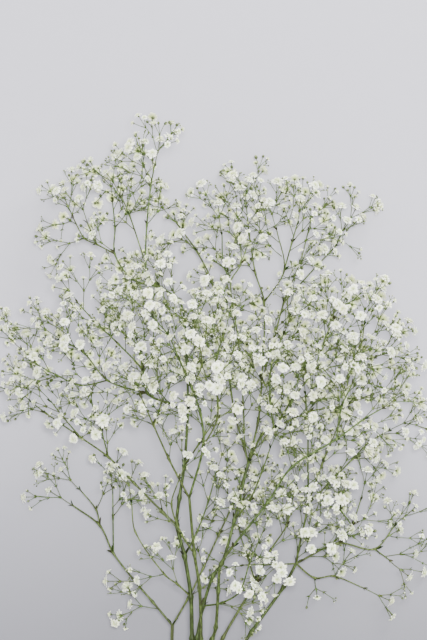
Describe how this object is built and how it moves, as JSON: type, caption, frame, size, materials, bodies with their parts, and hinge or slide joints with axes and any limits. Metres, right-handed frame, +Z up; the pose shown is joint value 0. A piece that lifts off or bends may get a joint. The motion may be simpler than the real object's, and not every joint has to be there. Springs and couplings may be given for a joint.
{
  "type": "gypsophila stem",
  "caption": "Cut stem of double white gypsophila, much branched, with clouds of small white flowers and green buds on thin forking twigs, lying down.",
  "frame": {"origin": "on the surface that the stem lies on, under the middle of its length and width", "axes": "+Y along the stem from its cut end to its top sprays, +X across the stem to the right seen from above, +Z up from the surface"},
  "size_m": [0.3725, 0.6009, 0.1638],
  "materials": {
    "stem_green": "waxy satin green stem",
    "spray_white": "matte white petals on thin green twigs"
  },
  "bodies": {
    "root": {"main_stem": "stem_green", "spray_low_left": "spray_white", "spray_back_middle": "spray_white", "spray_left_thin": "spray_white", "spray_left_long": "spray_white", "spray_top_left": "spray_white", "spray_centre_left": "spray_white", "spray_inner_left": "spray_white", "spray_centre": "spray_white", "spray_top_middle": "spray_white", "spray_top_right": "spray_white", "spray_right_upper": "spray_white", "spray_right_long": "spray_white", "spray_right_middle": "spray_white", "spray_low_right": "spray_white", "spray_low_hanging": "spray_white", "spray_low_crossing": "spray_white", "spray_low_middle": "spray_white", "spray_low_inner": "spray_white", "spray_low_front": "spray_white", "spray_inner_front": "spray_white", "spray_inner_back": "spray_white", "spray_inner_right": "spray_white", "spray_inner_middle": "spray_white"}
  },
  "joints": []
}
